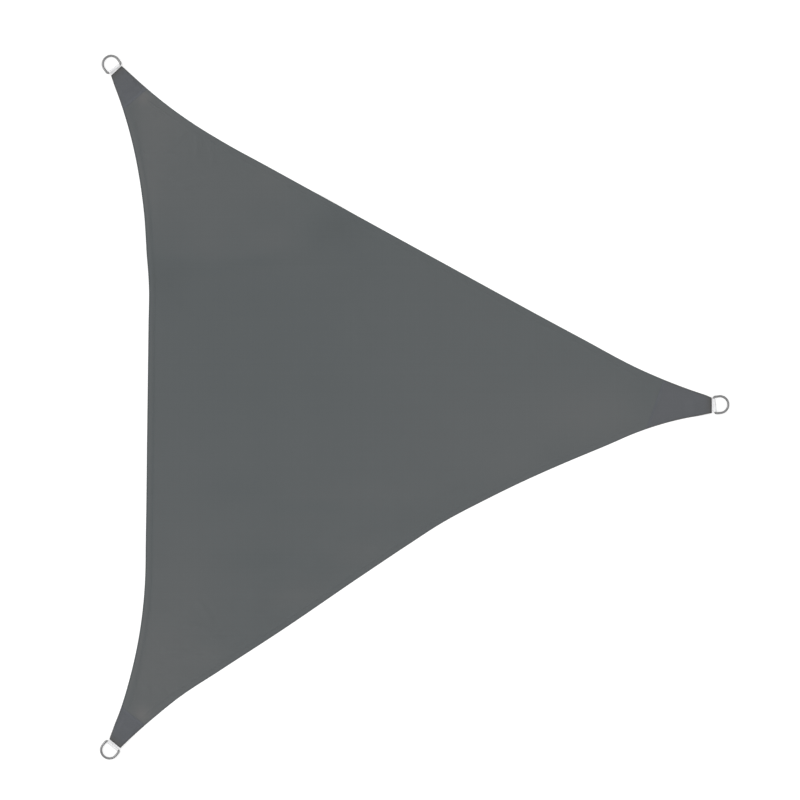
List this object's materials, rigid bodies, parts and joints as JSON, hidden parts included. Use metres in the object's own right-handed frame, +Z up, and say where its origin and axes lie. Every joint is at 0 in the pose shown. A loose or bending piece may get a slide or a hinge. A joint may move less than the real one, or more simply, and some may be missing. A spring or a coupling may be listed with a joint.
{
  "type": "shade sail",
  "caption": "Triangular grey shade sail with cut-in hemmed edges, a reinforced corner, webbing loop and steel D-ring at each point, laid flat.",
  "frame": {"origin": "the middle of the sail's box in plan, on the surface that the sail lies on", "axes": "+Z up out of the sail's face; +Y along the edge that runs between the upper and the lower corner, towards the upper one; +X towards the right corner"},
  "size_m": [1.7671, 1.9789, 0.0096],
  "materials": {
    "sailcloth": "matt woven polyester, mid grey",
    "doubled_sailcloth": "matt woven polyester in two plies, slightly darker grey",
    "webbing": "tightly woven white polyester webbing",
    "ring_steel": "polished stainless steel wire"
  },
  "bodies": {
    "root": {"sail_panel": "sailcloth", "corner_patch_upper": "doubled_sailcloth", "corner_patch_lower": "doubled_sailcloth", "corner_patch_right": "doubled_sailcloth", "webbing_loop_upper": "webbing", "webbing_loop_lower": "webbing", "webbing_loop_right": "webbing", "d_ring_upper": "ring_steel", "d_ring_lower": "ring_steel", "d_ring_right": "ring_steel"}
  },
  "joints": []
}
